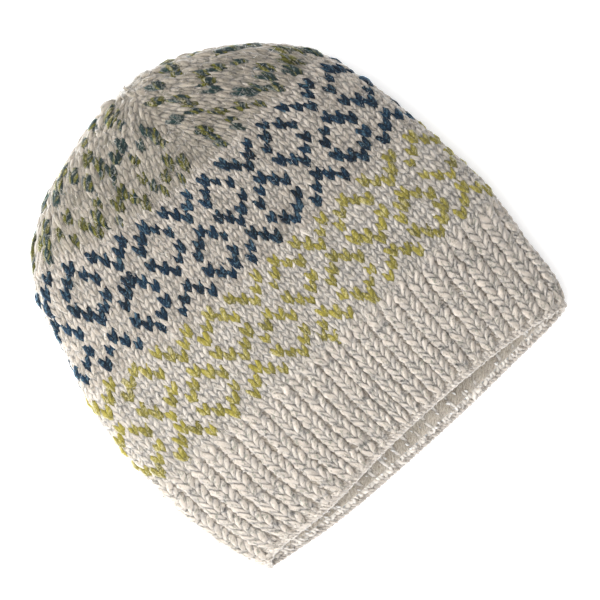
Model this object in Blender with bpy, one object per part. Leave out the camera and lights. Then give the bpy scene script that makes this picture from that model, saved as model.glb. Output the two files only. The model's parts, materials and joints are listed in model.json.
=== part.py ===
"""A stranded-knit hat, lying on its back with the mouth towards -Y and the crown towards +Y.

Metres, +Z up. The origin is on the floor under the middle of the hat's box. The hat is one knitted tube:
ribbed_band, patterned_body and crown are the three stretches that its stitch divides it into, and they
meet face to face. One form function gives the whole skin, so each stretch follows from the same sizes.
"""
import math

import bmesh
import bpy
import numpy as np

# The lying hat
LYING_WIDTH = 0.2272
LYING_LENGTH = 0.2345
LYING_HEIGHT = 0.038
EDGE_RETREAT = 0.015      # how far the top layer's brim edge lies behind the back layer's

# The knitting
KNIT_WALL = 0.0040
RIB_WALL = 0.0044
RIB_RELIEF = 0.0009       # a knit column of the rib stands this far out, a purl column this far in
STITCHES_AROUND = 100
CROWN_PANELS = 4          # the decrease lines divide the crown into this many panels
DECREASE_COLUMN = 4       # stitches from the top's centre line to the first decrease line
DECREASE_DIP = 0.0016     # depth of the valley along a decrease line
DECREASE_WIDTH = 0.010    # its half-width
GATHER_PLEATS = 12        # stitches drawn together by the closing yarn
GATHER_DEPTH = 0.0012     # depth of the pleats between them
GATHER_REACH = 6          # exponent that keeps the pleats near the tip
JOIN_GAP = 0.0003         # meeting faces stay this far apart

# Rings of the mesh along each stretch, and the samples that its curves are measured with
BAND_RINGS = 7
BODY_RINGS = 11
CROWN_RINGS = 10
LOOP_SAMPLES = 800
MERIDIAN_SAMPLES = 160
CROWN_RING_EASE = 1.15    # above 1, the crown's rings lie closer together towards the tip
SMALL_TURN = 0.01
SMALL_SHARE = 0.001
SMOOTH_ANGLE = 50.0       # degrees between faces that still look like one smooth skin
WOOL_ROUGHNESS = 0.95

# The form, in shares: along of the length, half_width of half the width, top and under of the height,
# shift of half the width to the right, fullness as the exponent of the section's upper curve.
FORM_COLUMNS = ("along", "half_width", "top", "under", "shift", "fullness")
FORM = (
    (0.000, 0.868, 0.62, 0.00, 0.031, 2.6),
    (0.060, 0.926, 0.64, 0.00, 0.023, 2.6),
    (0.180, 0.979, 0.68, 0.00, 0.001, 2.6),
    (0.330, 1.000, 0.74, 0.00, 0.000, 2.6),
    (0.500, 0.975, 0.82, 0.00, -0.009, 2.6),
    (0.670, 0.900, 0.93, 0.00, 0.008, 2.6),
    (0.800, 0.813, 1.00, 0.00, -0.001, 2.5),
    (0.854, 0.725, 0.99, 0.00, -0.005, 2.5),
    (0.907, 0.607, 0.95, 0.01, -0.005, 2.4),
    (0.942, 0.501, 0.88, 0.03, 0.005, 2.3),
    (0.974, 0.355, 0.77, 0.10, 0.035, 2.2),
    (0.994, 0.190, 0.61, 0.24, 0.065, 2.1),
    (1.000, 0.000, 0.42, 0.42, 0.089, 2.0),
)
UNDER_FULLNESS = 3.0      # exponent of the section's lower curve
FOLD_LEVEL = 0.45         # the side fold's height, as a share of the section's
PRESS = 0.15              # how much of the lower curve the floor flattens
NOSE_START = 0.942        # from here on, the wall turns from the sides to the tip

# Rows that run round the hat, as shares of EDGE_RETREAT for the brim's edge, and of LYING_LENGTH for the
# two rows where a stretch ends. Each is given at twelve even turns of the section's angle, from the top's
# centre line over the right fold, the underside's centre line and the left fold.
EDGE_ROW = (0.98, 0.89, 0.61, 0.41, 0.23, 0.12, 0.02, 0.10, 0.36, 0.54, 0.84, 0.75)
RIB_END_ROW = (0.298, 0.296, 0.292, 0.291, 0.289, 0.285, 0.281, 0.292, 0.307, 0.310, 0.311, 0.306)
CROWN_START_ROW = (0.766, 0.770, 0.774, 0.774, 0.774, 0.769, 0.762, 0.784, 0.830, 0.837, 0.835, 0.800)


def smooth_step(t, step, here, slope_here, after, slope_after):
    """A cubic from one knot to the next, with a slope at each."""
    start = (1 + 2 * t) * (1 - t) ** 2 * here + t * (1 - t) ** 2 * step * slope_here
    end = t * t * (3 - 2 * t) * after - t * t * (1 - t) * step * slope_after
    return start + end


def form_column(name, along):
    """Reads one column of the form smoothly. The knots crowd at the nose, so that it closes round."""
    places = np.array([math.asin(row[0]) for row in FORM])
    values = np.array([row[FORM_COLUMNS.index(name)] for row in FORM])
    slopes = np.gradient(values, places)
    at = np.arcsin(np.clip(along, 0.0, 1.0))
    knot = np.clip(np.searchsorted(places, at, side="right") - 1, 0, len(places) - 2)
    step = places[knot + 1] - places[knot]
    t = (at - places[knot]) / step
    return smooth_step(t, step, values[knot], slopes[knot], values[knot + 1], slopes[knot + 1])


def row_share(row, angle):
    """Reads a row's share smoothly round the hat, from its twelve places."""
    place = angle / (2 * math.pi) % 1.0 * len(row)
    index = np.floor(place).astype(int)
    before, here, after, beyond = (np.array(row)[(index + step) % len(row)] for step in (-1, 0, 1, 2))
    return smooth_step(place - index, 1.0, here, (after - before) / 2, after, (beyond - here) / 2)


def skin(angle, along, inset=0.0):
    """Points of the form, or of the wall's inner side. Angle 0 is the top's centre line, pi/2 the right."""
    sine = np.sin(angle)
    cosine = np.cos(angle)
    half_width = form_column("half_width", along) * (LYING_WIDTH / 2 - inset)
    centre = form_column("shift", along) * LYING_WIDTH / 2
    top = form_column("top", along) * LYING_HEIGHT
    under = form_column("under", along) * LYING_HEIGHT
    tighter = 1 - inset / LYING_HEIGHT
    fullness = np.where(cosine >= 0, form_column("fullness", along), UNDER_FULLNESS) * tighter
    across = np.sign(sine) * np.abs(sine) ** (2 / fullness)
    rise = np.sign(cosine) * np.abs(cosine) ** (2 / fullness)
    fold = under + FOLD_LEVEL * (top - under)
    reach = np.where(cosine >= 0, top - fold, (fold - under) * (1 + PRESS))
    height = np.maximum(fold + rise * reach, under)
    nose = form_column("top", NOSE_START) - form_column("under", NOSE_START)
    middle = (top + under) / 2
    height = middle + (height - middle) * (1 - 2 * inset / np.maximum(top - under, nose * LYING_HEIGHT))
    return np.stack([centre + half_width * across, along * (LYING_LENGTH - inset), height], axis=-1)


def lengths_along(points):
    """Distance travelled along each column of points, from its first."""
    steps = np.linalg.norm(np.diff(points, axis=0), axis=-1)
    return np.concatenate([np.zeros((1,) + steps.shape[1:]), np.cumsum(steps, axis=0)])


def edge_along(angle):
    return row_share(EDGE_ROW, angle) * EDGE_RETREAT / LYING_LENGTH


def rib_end_along(angle):
    return row_share(RIB_END_ROW, angle)


def crown_start_along(angle):
    return row_share(CROWN_START_ROW, angle)


def row_between(first, last, share):
    """The row at a share of the way between two rows."""
    def along(angle):
        return (1 - share) * first(angle) + share * last(angle)
    return along


def crown_row(share):
    """The row at the same share of the way from the crown's start to its tip, along every column."""
    angle = np.linspace(0.0, 2 * math.pi, LOOP_SAMPLES)
    start = np.arcsin(crown_start_along(angle))
    steps = np.linspace(0.0, 1.0, MERIDIAN_SAMPLES)[:, None]
    along = np.sin(start + (math.pi / 2 - start) * steps)
    reached = lengths_along(skin(np.broadcast_to(angle, along.shape), along))
    at_share = [np.interp(share * way[-1], way, column) for way, column in zip(reached.T, along.T)]

    def row(wanted):
        return np.interp(wanted % (2 * math.pi), angle, at_share)
    return row


def ring(row, wall):
    """A ring's outer points, inner points and outward directions, at evenly spaced stitch columns."""
    around = np.linspace(0.0, 2 * math.pi, LOOP_SAMPLES)
    reached = lengths_along(skin(around, row(around)))
    wanted = np.linspace(0.0, reached[-1], STITCHES_AROUND, endpoint=False)
    angle = np.interp(wanted, reached, around)
    along = row(angle)
    outer = skin(angle, along)
    round_it = skin(angle + SMALL_TURN, along) - skin(angle - SMALL_TURN, along)
    along_it = skin(angle, along + SMALL_SHARE) - skin(angle, along - SMALL_SHARE)
    outward = np.cross(round_it, along_it)
    outward /= np.linalg.norm(outward, axis=1, keepdims=True)
    return outer, skin(angle, along, wall), outward


def placed(points, shift=0.0):
    """Puts the origin under the middle of the hat, and keeps every point on or above the floor."""
    moved = points + np.array([0.0, shift - LYING_LENGTH / 2, 0.0])
    moved[..., 2] = np.maximum(moved[..., 2], 0.0)
    return moved


def wall_mesh(name, outer, inner, tips=()):
    """A closed wall between outer and inner rings, open right through or closed at a pair of tips."""
    work = bmesh.new()
    outer_rows = [[work.verts.new(point) for point in points] for points in outer]
    inner_rows = [[work.verts.new(point) for point in points] for points in inner]
    tip_verts = [work.verts.new(point) for point in tips]
    for side in range(STITCHES_AROUND):
        after = (side + 1) % STITCHES_AROUND
        for low, high in zip(outer_rows, outer_rows[1:]):
            work.faces.new((low[side], high[side], high[after], low[after]))
        for low, high in zip(inner_rows, inner_rows[1:]):
            work.faces.new((low[after], high[after], high[side], low[side]))
        first_out, first_in = outer_rows[0], inner_rows[0]
        work.faces.new((first_out[after], first_in[after], first_in[side], first_out[side]))
        last_out, last_in = outer_rows[-1], inner_rows[-1]
        if tip_verts:
            work.faces.new((last_out[side], tip_verts[0], last_out[after]))
            work.faces.new((last_in[after], tip_verts[1], last_in[side]))
        else:
            work.faces.new((last_out[side], last_in[side], last_in[after], last_out[after]))
    bmesh.ops.recalc_face_normals(work, faces=work.faces)
    mesh = bpy.data.meshes.new(name)
    work.to_mesh(mesh)
    work.free()
    return mesh


def wool(name, colour):
    material = bpy.data.materials.new(name)
    material.use_nodes = True
    shader = material.node_tree.nodes["Principled BSDF"]
    shader.inputs["Base Color"].default_value = (*colour, 1.0)
    shader.inputs["Roughness"].default_value = WOOL_ROUGHNESS
    shader.inputs["Metallic"].default_value = 0.0
    return material


def add_part(mesh, material):
    part = bpy.data.objects.new(mesh.name, mesh)
    bpy.context.scene.collection.objects.link(part)
    mesh.materials.append(material)
    mesh.shade_smooth()
    mesh.set_sharp_from_angle(angle=math.radians(SMOOTH_ANGLE))
    return part


def end_nudges(count, first, last):
    """How far each ring moves along Y, so that the end rings leave the join's gap."""
    nudges = [0.0] * count
    nudges[0] = first
    nudges[-1] = last
    return nudges


def build_band():
    """The ribbed band: one knit column out, one purl column in."""
    outer = []
    inner = []
    ribs = np.where(np.arange(STITCHES_AROUND) % 2 == 0, 1.0, -1.0)[:, None]
    nudges = end_nudges(BAND_RINGS, 0.0, -JOIN_GAP / 2)
    for share, nudge in zip(np.linspace(0.0, 1.0, BAND_RINGS), nudges):
        skin_ring, lining_ring, outward = ring(row_between(edge_along, rib_end_along, share), RIB_WALL)
        fade = min(1.0, (1 - share) * (BAND_RINGS - 1))
        relief = outward * (ribs - 1) * fade * RIB_RELIEF
        outer.append(placed(skin_ring + relief, nudge))
        inner.append(placed(lining_ring + relief, nudge))
    return add_part(wall_mesh("ribbed_band", outer, inner), wool("grey_rib", (0.47, 0.43, 0.38)))


def build_body():
    """The stranded body, from the rib to the first decrease round."""
    outer = []
    inner = []
    nudges = end_nudges(BODY_RINGS, JOIN_GAP / 2, -JOIN_GAP / 2)
    for share, nudge in zip(np.linspace(0.0, 1.0, BODY_RINGS), nudges):
        row = row_between(rib_end_along, crown_start_along, share)
        skin_ring, lining_ring, _ = ring(row, KNIT_WALL)
        outer.append(placed(skin_ring, nudge))
        inner.append(placed(lining_ring, nudge))
    return add_part(wall_mesh("patterned_body", outer, inner), wool("grey_and_blue", (0.33, 0.34, 0.33)))


def decrease_valley(points):
    """How deep each column of a ring lies in the nearest decrease line's valley, from 0 to 1."""
    pitch = lengths_along(points)[-1] / (len(points) - 1)
    panel = STITCHES_AROUND / CROWN_PANELS
    columns = np.arange(STITCHES_AROUND) - DECREASE_COLUMN
    away = np.abs((columns + panel / 2) % panel - panel / 2) * pitch
    return np.exp(-((away / DECREASE_WIDTH) ** 2))


def build_crown():
    """The crown: panels drawn in along the decrease lines, and the last stitches gathered at the tip."""
    outer = []
    inner = []
    turns = np.arange(STITCHES_AROUND) / STITCHES_AROUND
    pleats = (1 - np.cos(2 * math.pi * GATHER_PLEATS * turns)) / 2
    nudges = end_nudges(CROWN_RINGS, JOIN_GAP / 2, 0.0)
    for count, nudge in enumerate(nudges):
        share = 1 - (1 - count / CROWN_RINGS) ** CROWN_RING_EASE
        skin_ring, lining_ring, outward = ring(crown_row(share), KNIT_WALL)
        valley = math.sin(math.pi * share) * DECREASE_DIP * decrease_valley(skin_ring)
        gather = share ** GATHER_REACH * GATHER_DEPTH * pleats
        dip = outward * (valley + gather)[:, None]
        outer.append(placed(skin_ring - dip, nudge))
        inner.append(placed(lining_ring - dip, nudge))
    top = np.zeros(1)
    tips = [placed(skin(top, top + 1.0, inset)[0]) for inset in (0.0, KNIT_WALL)]
    return add_part(wall_mesh("crown", outer, inner, tips), wool("grey_and_marl", (0.38, 0.38, 0.31)))


for old in list(bpy.data.objects):
    bpy.data.objects.remove(old, do_unlink=True)

build_band()
build_body()
build_crown()
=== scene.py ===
# %% [markdown]
# # A stranded-knit wool hat, stitch by stitch
#
# The hat is one tube of wool: a ribbed band, a body with a small two-colour pattern, and a crown that
# is drawn in to a tip. It lies on its back, soft and nearly flat. The plan is to knit it again. First
# comes the form of the lying hat, the same one that the solid model has. Then every stitch is placed
# on a flat chart, in columns and rows, and the whole chart is wrapped round the form.
#
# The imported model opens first, because every size is taken from it.

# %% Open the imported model
import json
import math

import bmesh
import bpy
import numpy as np
from mathutils import Matrix, Vector
from mathutils.bvhtree import BVHTree

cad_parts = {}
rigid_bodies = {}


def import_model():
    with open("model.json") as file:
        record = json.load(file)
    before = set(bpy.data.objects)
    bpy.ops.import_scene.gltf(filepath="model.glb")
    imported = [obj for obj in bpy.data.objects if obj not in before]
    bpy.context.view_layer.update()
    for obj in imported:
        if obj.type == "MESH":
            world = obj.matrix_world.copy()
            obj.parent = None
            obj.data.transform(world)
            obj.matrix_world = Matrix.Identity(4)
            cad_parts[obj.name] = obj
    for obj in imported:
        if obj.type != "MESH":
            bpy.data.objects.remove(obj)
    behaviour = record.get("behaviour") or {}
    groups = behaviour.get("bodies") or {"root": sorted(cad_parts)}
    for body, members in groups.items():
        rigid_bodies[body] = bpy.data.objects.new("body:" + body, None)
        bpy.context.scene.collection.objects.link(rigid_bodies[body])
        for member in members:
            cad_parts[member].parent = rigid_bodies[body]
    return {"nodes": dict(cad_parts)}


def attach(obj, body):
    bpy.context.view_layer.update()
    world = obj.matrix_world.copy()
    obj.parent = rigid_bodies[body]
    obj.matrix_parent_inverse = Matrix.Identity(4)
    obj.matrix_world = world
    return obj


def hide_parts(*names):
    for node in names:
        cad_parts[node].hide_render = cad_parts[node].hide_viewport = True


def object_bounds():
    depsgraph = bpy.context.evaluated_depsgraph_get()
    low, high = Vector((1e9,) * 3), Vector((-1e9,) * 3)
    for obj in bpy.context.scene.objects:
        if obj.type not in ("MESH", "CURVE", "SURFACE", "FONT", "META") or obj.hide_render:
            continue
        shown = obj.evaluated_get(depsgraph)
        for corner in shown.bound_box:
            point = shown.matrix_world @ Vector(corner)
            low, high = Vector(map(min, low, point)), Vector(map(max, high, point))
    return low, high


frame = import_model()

cad_lowest, cad_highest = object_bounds()
lying_width, lying_length, lying_height = cad_highest - cad_lowest
print(f"lying hat: {lying_width * 1000:.1f} x {lying_length * 1000:.1f} x {lying_height * 1000:.1f} mm")

# %% [markdown]
# ## The knitting's own sizes
#
# A knitter counts in stitches and rows, so the scene does too. A column is one stitch wide, and a row
# is one round of knitting. The rib, the body and the crown follow each other without a seam.

# %% Count the stitches
STITCHES_AROUND = 100
RIB_ROWS = 13
CROWN_START = 38          # the first row that has decreases
ALL_ROWS = 52
KNIT_WALL = 0.0040
RIB_WALL = 0.0044
RIB_RELIEF = 0.0009       # how far a rib stands out from the middle of the band, and a groove goes in
EDGE_RETREAT = 0.015      # how far the top layer's edge lies behind the back layer's

stitch_size = 2 * lying_width / STITCHES_AROUND
print(f"one stitch is {stitch_size * 1000:.2f} mm wide, and the tube has {STITCHES_AROUND * ALL_ROWS} places")

# %% [markdown]
# ## The form of the lying hat
#
# Soft cloth that lies on a table has no simple shape, but its outline and its thickness change slowly
# from the mouth to the tip. So a few sections are written down as shares of the hat's own size, and a
# smooth curve runs through them. Each section is a flat pillow: full at the top, pressed below.

# %% Write down the sections
FORM_COLUMNS = ("along", "half_width", "top", "under", "shift", "fullness")
FORM = (
    (0.000, 0.868, 0.62, 0.00, 0.031, 2.6),
    (0.060, 0.926, 0.64, 0.00, 0.023, 2.6),
    (0.180, 0.979, 0.68, 0.00, 0.001, 2.6),
    (0.330, 1.000, 0.74, 0.00, 0.000, 2.6),
    (0.500, 0.975, 0.82, 0.00, -0.009, 2.6),
    (0.670, 0.900, 0.93, 0.00, 0.008, 2.6),
    (0.800, 0.813, 1.00, 0.00, -0.001, 2.5),
    (0.854, 0.725, 0.99, 0.00, -0.005, 2.5),
    (0.907, 0.607, 0.95, 0.01, -0.005, 2.4),
    (0.942, 0.501, 0.88, 0.03, 0.005, 2.3),
    (0.974, 0.355, 0.77, 0.10, 0.035, 2.2),
    (0.994, 0.190, 0.61, 0.24, 0.065, 2.1),
    (1.000, 0.000, 0.42, 0.42, 0.089, 2.0),
)
UNDER_FULLNESS = 3.0      # exponent of the section's lower curve
FOLD_LEVEL = 0.45         # the side fold's height, as a share of the section's
PRESS = 0.15              # how much of the lower curve the floor flattens
NOSE_START = 0.942        # from here on, the wall turns from the sides to the tip
print(f"{len(FORM)} sections from the mouth to the tip")


# %% Read the sections smoothly
def smooth_step(t, step, here, slope_here, after, slope_after):
    """A cubic from one knot to the next, with a slope at each."""
    start = (1 + 2 * t) * (1 - t) ** 2 * here + t * (1 - t) ** 2 * step * slope_here
    end = t * t * (3 - 2 * t) * after - t * t * (1 - t) * step * slope_after
    return start + end


def form_column(name, along):
    """Reads one column of the form smoothly. The knots crowd at the nose, so that it closes round."""
    places = np.array([math.asin(row[0]) for row in FORM])
    values = np.array([row[FORM_COLUMNS.index(name)] for row in FORM])
    slopes = np.gradient(values, places)
    at = np.arcsin(np.clip(along, 0.0, 1.0))
    knot = np.clip(np.searchsorted(places, at, side="right") - 1, 0, len(places) - 2)
    step = places[knot + 1] - places[knot]
    t = (at - places[knot]) / step
    return smooth_step(t, step, values[knot], slopes[knot], values[knot + 1], slopes[knot + 1])


print(f"half-width at the rib's end: {form_column('half_width', 0.3) * lying_width / 2 * 1000:.1f} mm")


# %% Turn a section into points
def skin(angle, along, inset=0.0):
    """Points of the form, or of a layer inside it. Angle 0 is the top's centre line, pi/2 the right."""
    sine, cosine = np.sin(angle), np.cos(angle)
    half_width = form_column("half_width", along) * (lying_width / 2 - inset)
    centre = form_column("shift", along) * lying_width / 2
    top = form_column("top", along) * lying_height
    under = form_column("under", along) * lying_height
    tighter = 1 - inset / lying_height
    fullness = np.where(cosine >= 0, form_column("fullness", along), UNDER_FULLNESS) * tighter
    across = np.sign(sine) * np.abs(sine) ** (2 / fullness)
    rise = np.sign(cosine) * np.abs(cosine) ** (2 / fullness)
    fold = under + FOLD_LEVEL * (top - under)
    reach = np.where(cosine >= 0, top - fold, (fold - under) * (1 + PRESS))
    height = np.maximum(fold + rise * reach, under)
    nose = form_column("top", NOSE_START) - form_column("under", NOSE_START)
    middle = (top + under) / 2
    height = middle + (height - middle) * (1 - 2 * inset / np.maximum(top - under, nose * lying_height))
    length = cad_lowest.y + along * (lying_length - inset)
    return np.stack([centre + half_width * across, length, height], axis=-1)


nose_point = skin(np.zeros(1), np.ones(1))[0]
print("the nose is at", np.round(nose_point * 1000, 1), "mm")

# %% [markdown]
# ## The rows of knitting
#
# A round of knitting doesn't run straight across a lying hat: it climbs at the left fold, where the
# cloth was pulled up when the hat was laid down. Three rows are written down at twelve places round
# the hat, and the others lie between them.

# %% Write down three rows
EDGE_ROW = (0.98, 0.89, 0.61, 0.41, 0.23, 0.12, 0.02, 0.10, 0.36, 0.54, 0.84, 0.75)
RIB_END_ROW = (0.298, 0.296, 0.292, 0.291, 0.289, 0.285, 0.281, 0.292, 0.307, 0.310, 0.311, 0.306)
CROWN_START_ROW = (0.766, 0.770, 0.774, 0.774, 0.774, 0.769, 0.762, 0.784, 0.830, 0.837, 0.835, 0.800)
LOOP_SAMPLES = 800
MERIDIAN_SAMPLES = 160


def row_share(row, angle):
    """Reads a row's share smoothly round the hat, from its twelve places."""
    place = angle / (2 * math.pi) % 1.0 * len(row)
    index = np.floor(place).astype(int)
    before, here, after, beyond = (np.array(row)[(index + step) % len(row)] for step in (-1, 0, 1, 2))
    return smooth_step(place - index, 1.0, here, (after - before) / 2, after, (beyond - here) / 2)


left_climb = (CROWN_START_ROW[9] - CROWN_START_ROW[0]) * lying_length
print(f"the crown's first row climbs {left_climb * 1000:.1f} mm at the left fold")


# %% Follow one row round the hat
def lengths_along(points):
    """Distance travelled along each column of points, from its first."""
    steps = np.linalg.norm(np.diff(points, axis=0), axis=-1)
    return np.concatenate([np.zeros((1,) + steps.shape[1:]), np.cumsum(steps, axis=0)])


around = np.linspace(0.0, 2 * math.pi, LOOP_SAMPLES)
edge_line = row_share(EDGE_ROW, around) * EDGE_RETREAT / lying_length
rib_end_line = row_share(RIB_END_ROW, around)
crown_start_line = row_share(CROWN_START_ROW, around)

start = np.arcsin(crown_start_line)
steps = np.linspace(0.0, 1.0, MERIDIAN_SAMPLES)[:, None]
crown_ways = np.sin(start + (math.pi / 2 - start) * steps)
crown_reached = lengths_along(skin(np.broadcast_to(around, crown_ways.shape), crown_ways))


def row_line(row):
    """How far along the hat a row lies, at every sample round it."""
    if row <= RIB_ROWS:
        share = row / RIB_ROWS
        return (1 - share) * edge_line + share * rib_end_line
    if row <= CROWN_START:
        share = (row - RIB_ROWS) / (CROWN_START - RIB_ROWS)
        return (1 - share) * rib_end_line + share * crown_start_line
    share = (row - CROWN_START) / (ALL_ROWS - CROWN_START)
    ways = zip(crown_reached.T, crown_ways.T)
    return np.array([np.interp(share * way[-1], way, line) for way, line in ways])


for row in (0, RIB_ROWS, CROWN_START):
    round_it = lengths_along(skin(around, row_line(row)))[-1]
    print(f"row {row}: {round_it * 1000:.0f} mm round, {round_it / STITCHES_AROUND * 1000:.2f} mm a stitch")


# %% Place any column of any row
def row_points(row, columns, inset):
    """Points of one row, at columns counted from the top's centre line and evenly spaced by length."""
    line = row_line(row)
    reached = lengths_along(skin(around, line))
    angle = np.interp(columns / STITCHES_AROUND % 1.0 * reached[-1], reached, around)
    return skin(angle, np.interp(angle, around, line), inset)


def worst_distance(node, rows):
    """The largest distance from the form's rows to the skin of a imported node."""
    work = bmesh.new()
    work.from_mesh(frame["nodes"][node].data)
    tree = BVHTree.FromBMesh(work)
    work.free()
    columns = np.arange(0.0, STITCHES_AROUND, 2.0)
    points = np.concatenate([row_points(row, columns, 0.0) for row in rows])
    return max(tree.find_nearest(Vector(point))[3] for point in points)


CHECKED_ROWS = (14, 20, 26, 32, 37)
off_solid = worst_distance("patterned_body", CHECKED_ROWS)
print(f"form to the solid body: {off_solid * 1000:.2f} mm at most")

# %% [markdown]
# ## A chart that can be wrapped
#
# Stitches are placed on a flat chart, where a column and a row are plain numbers. To wrap the chart
# round the hat, a grid of the form carries the chart's own coordinates as a UV map. Any point of a
# stitch then looks up its place on the grid, and stands off it along the grid's outward direction.
# The grid reaches past the first and last column, and past the edge, because stitches overlap there.

# %% Build the wrapping grid
CHART_MARGIN = 2.0        # columns past the first and last
EDGE_MARGIN = 1.5         # rows past the brim's edge and past the tip
GRID_STEP = 0.5
DECREASE_LINES = (4.8, 29.8, 54.8, 79.8)   # columns where the crown is drawn in
DECREASE_DIP = 0.0016
DECREASE_WIDTH = 2.2      # half-width of a decrease line's valley, in columns
GATHER_DEPTH = 0.0024     # how far the closing yarn draws the tip in
GATHER_REACH = 6          # exponent that keeps this near the tip
PUCKER_COLUMN = 4.3       # where the front's decreases pull a dimple into the crown
PUCKER_ROW = 43.5
PUCKER_REACH = 1.8        # its radius, in rows
PUCKER_DEPTH = 0.0022
TIP_ROWS = 2.0            # over the last rows every outward direction turns to the tip's own

chart_columns = np.arange(-CHART_MARGIN, STITCHES_AROUND + CHART_MARGIN + GRID_STEP / 2, GRID_STEP)
chart_rows = np.arange(0.0, ALL_ROWS + GRID_STEP / 2, GRID_STEP)


def middle_inset(row):
    """How deep the middle of the wall lies: deeper in the rib, whose ribs stand out."""
    return np.interp(row, (RIB_ROWS - 1, RIB_ROWS + 1), (RIB_WALL / 2 + RIB_RELIEF, KNIT_WALL / 2))


grid = np.stack([row_points(row, chart_columns, middle_inset(row)) for row in chart_rows])
outward = np.cross(np.gradient(grid, axis=1), np.gradient(grid, axis=0))
outward /= np.maximum(np.linalg.norm(outward, axis=-1, keepdims=True), 1e-9)
tip = np.clip((chart_rows - ALL_ROWS + TIP_ROWS) / TIP_ROWS, 0.0, 1.0)[:, None, None]
tip_direction = outward[-int(TIP_ROWS / GRID_STEP) - 1].mean(axis=0)
outward = (1 - tip) * outward + tip * tip_direction / np.linalg.norm(tip_direction)
print(f"wrapping grid: {grid.shape[1]} columns by {grid.shape[0]} rows")

# %% [markdown]
# The crown isn't smooth. A valley runs up each decrease line, a small dimple lies beside the front's, and
# the closing yarn draws the tip in.

# %% Press the decrease lines in
HALF_ROUND = STITCHES_AROUND / 2

crown_share = np.clip((chart_rows - CROWN_START) / (ALL_ROWS - CROWN_START), 0.0, 1.0)[:, None]
grid_steps = np.linalg.norm(np.diff(grid, axis=1), axis=-1).mean(axis=1)[:, None]
row_widths = grid_steps / GRID_STEP / stitch_size
sides = [(chart_columns - line + HALF_ROUND) % STITCHES_AROUND - HALF_ROUND for line in DECREASE_LINES]
away = np.abs(sides).min(axis=0)
valley = np.sin(math.pi * crown_share) * np.exp(-((away * row_widths / DECREASE_WIDTH) ** 2))
beside = (chart_columns - PUCKER_COLUMN) * row_widths
pucker = np.exp(-(beside ** 2 + (chart_rows[:, None] - PUCKER_ROW) ** 2) / PUCKER_REACH ** 2)
sunk = valley * DECREASE_DIP + pucker * PUCKER_DEPTH + crown_share ** GATHER_REACH * GATHER_DEPTH
grid = grid - outward * sunk[..., None]

extra = int(EDGE_MARGIN / GRID_STEP)
below = 2 * grid[0] - grid[extra:0:-1]
beyond = np.repeat(grid[-1:], extra, axis=0)
grid = np.concatenate([below, grid, beyond])
outward = np.concatenate([outward[:1].repeat(extra, axis=0), outward, outward[-1:].repeat(extra, axis=0)])
print(f"deepest valley: {valley.max() * DECREASE_DIP * 1000:.1f} mm")


# %% Keep the grid as a mesh with the chart's coordinates
def grid_faces(rows, columns):
    """Four corners for each square of a grid, seen from outside."""
    first = np.arange(rows - 1)[:, None] * columns + np.arange(columns - 1)
    return np.stack([first, first + 1, first + columns + 1, first + columns], axis=-1).reshape(-1, 4)


def plain_mesh(name, points, faces):
    """A mesh from arrays of points and of faces."""
    mesh = bpy.data.meshes.new(name)
    mesh.from_pydata(np.asarray(points).tolist(), [], [list(map(int, face)) for face in faces])
    return mesh


def new_object(name, data):
    """An object in the scene."""
    made = bpy.data.objects.new(name, data)
    bpy.context.scene.collection.objects.link(made)
    return made


def helper_object(mesh):
    """An object that only lends its mesh to a node tree. It is removed at the end."""
    helper = new_object(mesh.name, mesh)
    helpers.append(helper)
    return helper


helpers = []
wrap = plain_mesh("wrap", grid.reshape(-1, 3), grid_faces(*grid.shape[:2]))
across, up = np.meshgrid(np.linspace(0, 1, grid.shape[1]), np.linspace(0, 1, grid.shape[0]))
chart_places = np.stack([across, up], axis=-1).reshape(-1, 2)
corners = np.empty(len(wrap.loops), dtype=np.int32)
wrap.loops.foreach_get("vertex_index", corners)
wrap.uv_layers.new(name="chart").uv.foreach_set("vector", chart_places[corners].astype(np.float32).ravel())
wrap.attributes.new("outward", "FLOAT_VECTOR", "POINT").data.foreach_set(
    "vector", outward.reshape(-1, 3).astype(np.float32).ravel()
)
wrap_object = helper_object(wrap)
print(f"wrap mesh: {len(wrap.polygons)} squares")

# %% [markdown]
# ## One stitch
#
# A knit stitch is a loop of yarn. Its foot lies behind, its two legs come forward and rise as a V,
# and its head goes back again, behind the feet of the next row. One curve says all of this. It could be
# drawn by hand, but a formula keeps neighbouring loops joined. A purl stitch is the same loop seen
# from the back. A loop has only a few dozen faces, because the hat has thousands of them. The ribs, the
# crown and the coloured stitches have loops of their own, which are stouter than the body's.

# %% Wind yarn along a path
YARN_SIDES = 5


def ring_faces(low, count, flip=False, high=None):
    """The squares between a ring of points and the next one, or another, given by their first numbers."""
    high = low + count if high is None else high
    faces = [(low + i, low + (i + 1) % count, high + (i + 1) % count, high + i) for i in range(count)]
    return [face[::-1] for face in faces] if flip else faces


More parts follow.
